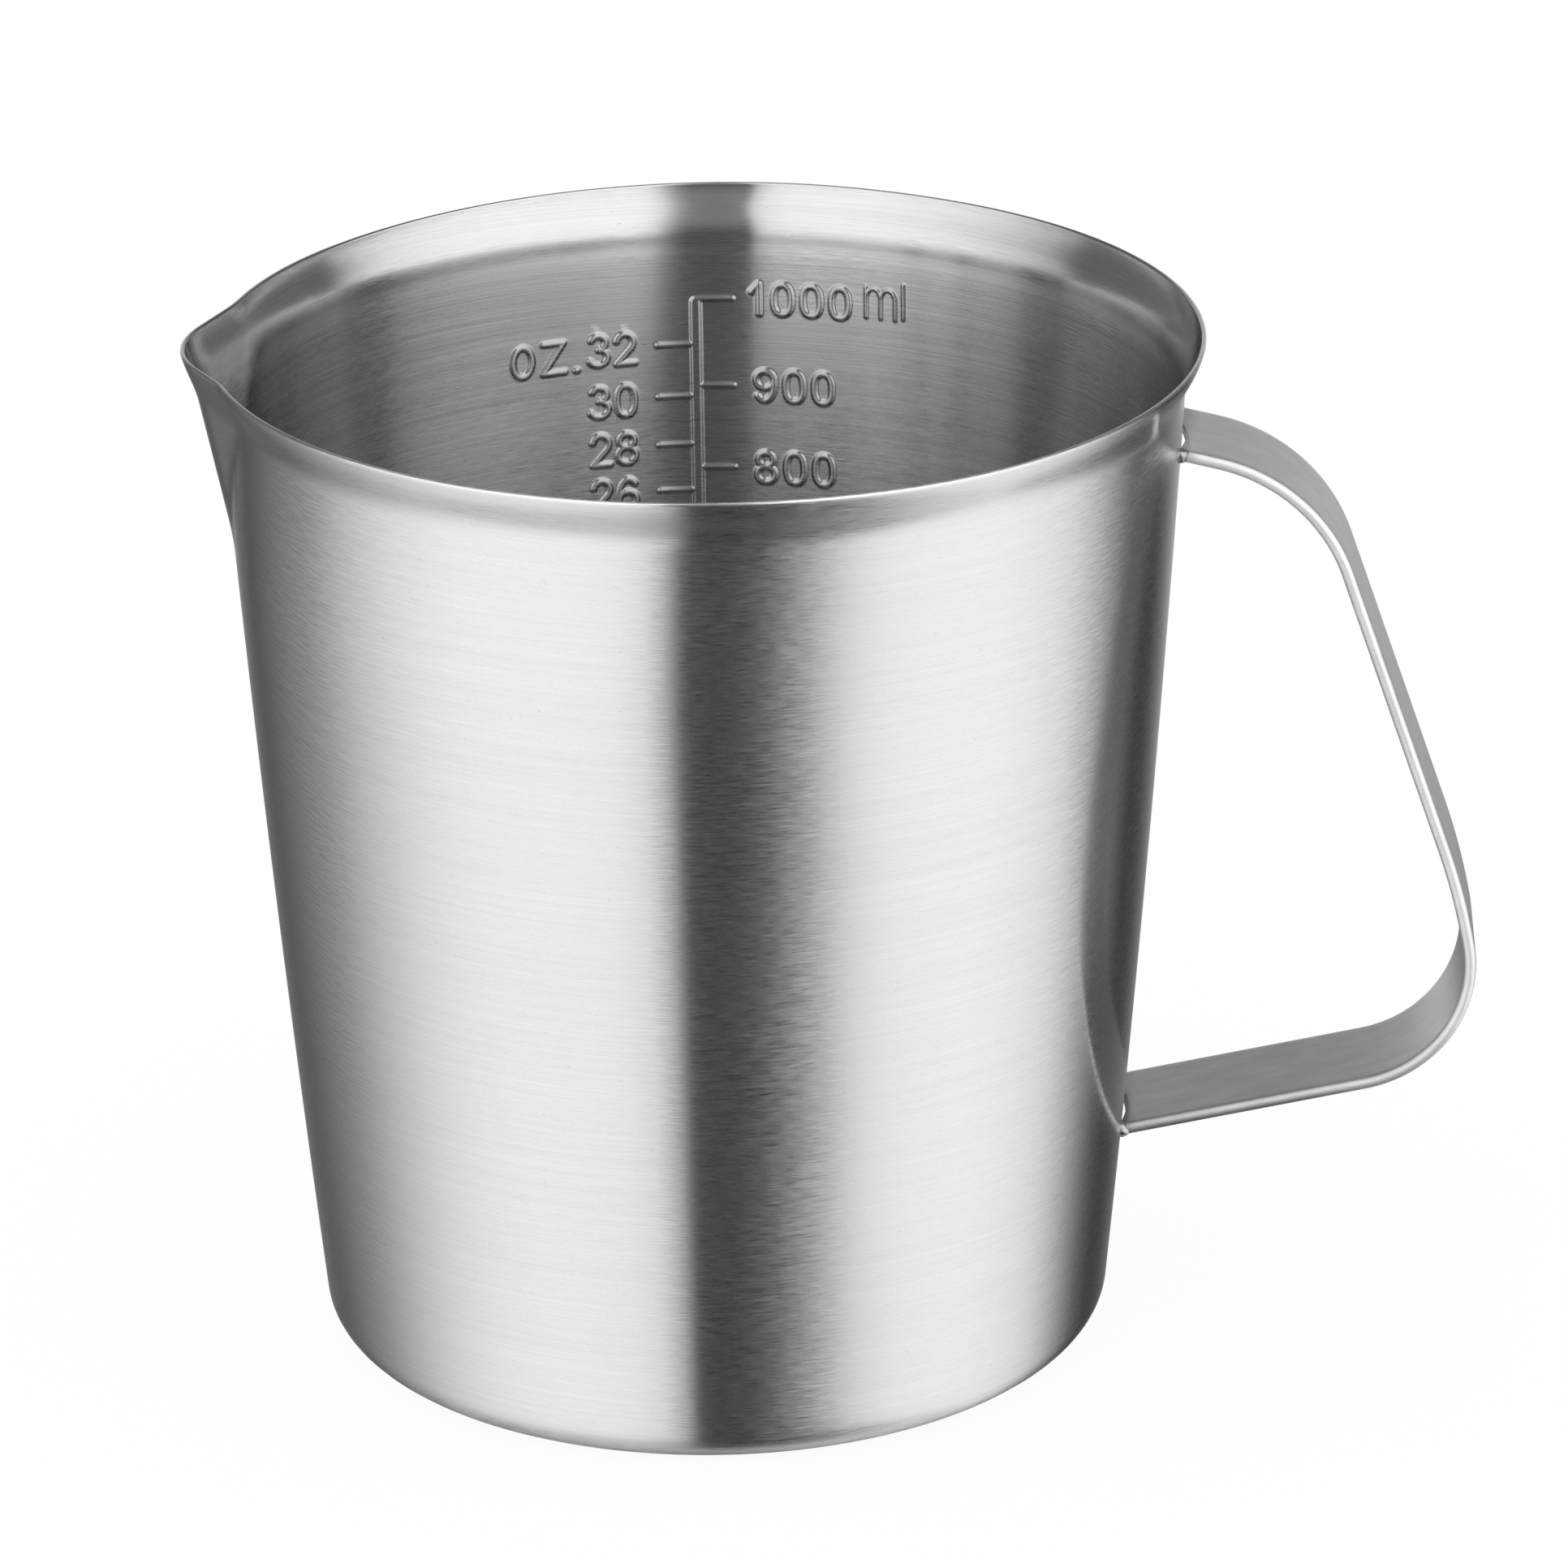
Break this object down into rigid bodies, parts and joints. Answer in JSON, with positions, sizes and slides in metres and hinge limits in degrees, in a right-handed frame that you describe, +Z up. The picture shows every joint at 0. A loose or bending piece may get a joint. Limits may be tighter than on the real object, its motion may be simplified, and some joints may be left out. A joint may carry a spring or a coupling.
{
  "type": "measuring jug",
  "caption": "Tapered steel measuring jug with a flared lip, a pressed pouring spout and a bent strap handle welded to the side.",
  "frame": {"origin": "centre of the flat underside of the base, where the jug stands", "axes": "+Z up the axis of the cup, +X out through the handle, -X out through the spout"},
  "size_m": [0.1596, 0.122, 0.129],
  "materials": {
    "cup_steel": "brushed round the cup",
    "strap_steel": "brushed along the strap",
    "weld_metal": "cleaned weld"
  },
  "bodies": {
    "root": {"cup": "cup_steel", "handle": "strap_steel", "welds": "weld_metal"}
  },
  "joints": []
}
